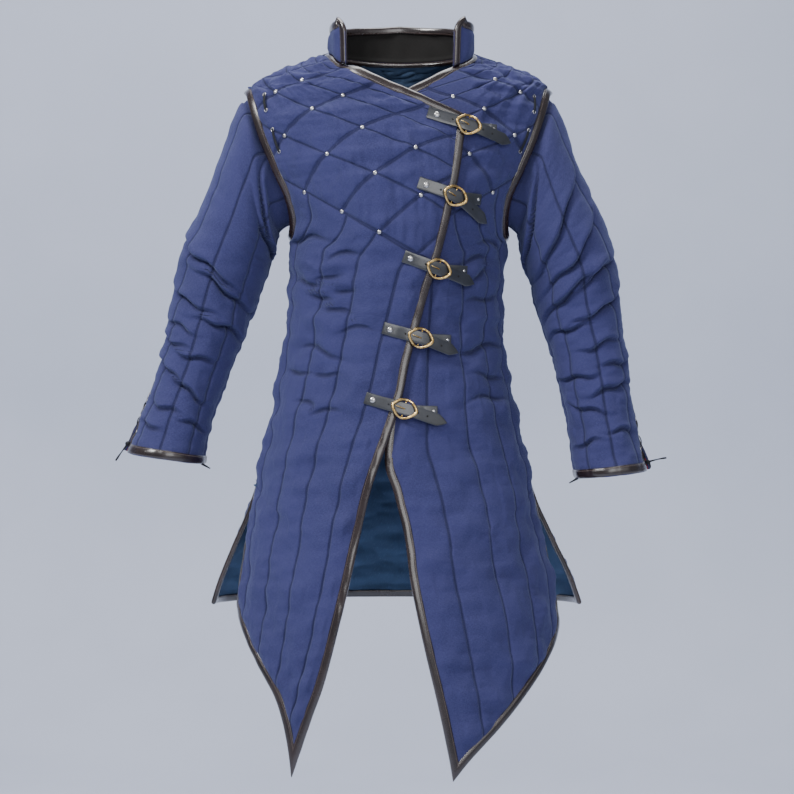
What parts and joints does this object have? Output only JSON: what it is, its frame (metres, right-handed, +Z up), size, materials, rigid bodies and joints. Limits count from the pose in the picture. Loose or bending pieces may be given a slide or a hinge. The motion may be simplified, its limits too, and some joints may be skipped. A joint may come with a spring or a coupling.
{
  "type": "gambeson",
  "caption": "Quilted navy canvas gambeson with leather bindings, a slanted front with buckled straps, laced-on sleeves and a pointed skirt.",
  "frame": {"origin": "middle of the neck opening, level with the top of the shoulders, where the wearer holds the garment up", "axes": "+Z up along the body, -Y out of the front, +X towards the wearer's left"},
  "size_m": [0.8243, 0.4052, 1.1869],
  "materials": {
    "navy_canvas": "matte cotton canvas, quilted over padding",
    "binding_leather": "glossy dark brown",
    "strap_leather": "dark grey, half matte",
    "brass": "polished, lightly tarnished",
    "steel": "polished nickel"
  },
  "bodies": {
    "root": {"front_right": "navy_canvas", "front_left": "navy_canvas", "back": "navy_canvas", "collar": "navy_canvas", "sleeve_right": "navy_canvas", "sleeve_left": "navy_canvas", "binding_front_right": "binding_leather", "binding_front_left": "binding_leather", "binding_back": "binding_leather", "binding_neck_back": "binding_leather", "binding_collar": "binding_leather", "binding_armhole_right": "binding_leather", "binding_armhole_left": "binding_leather", "binding_cuff_right": "binding_leather", "binding_cuff_left": "binding_leather", "strap_1": "strap_leather", "chape_1": "strap_leather", "buckle_1": "brass", "rivet_1": "steel", "strap_2": "strap_leather", "chape_2": "strap_leather", "buckle_2": "brass", "rivet_2": "steel", "strap_3": "strap_leather", "chape_3": "strap_leather", "buckle_3": "brass", "rivet_3": "steel", "strap_4": "strap_leather", "chape_4": "strap_leather", "buckle_4": "brass", "rivet_4": "steel", "strap_5": "strap_leather", "chape_5": "strap_leather", "buckle_5": "brass", "rivet_5": "steel", "stud_right_01": "steel", "stud_right_02": "steel", "stud_right_03": "steel", "stud_right_04": "steel", "stud_right_05": "steel", "stud_right_06": "steel", "stud_right_07": "steel", "stud_right_08": "steel", "stud_right_09": "steel", "stud_right_10": "steel", "stud_right_11": "steel", "stud_right_12": "steel", "stud_right_13": "steel", "stud_left_01": "steel", "stud_left_02": "steel", "stud_left_03": "steel", "stud_left_04": "steel", "stud_left_05": "steel", "stud_left_06": "steel", "stud_left_07": "steel"}
  },
  "joints": []
}
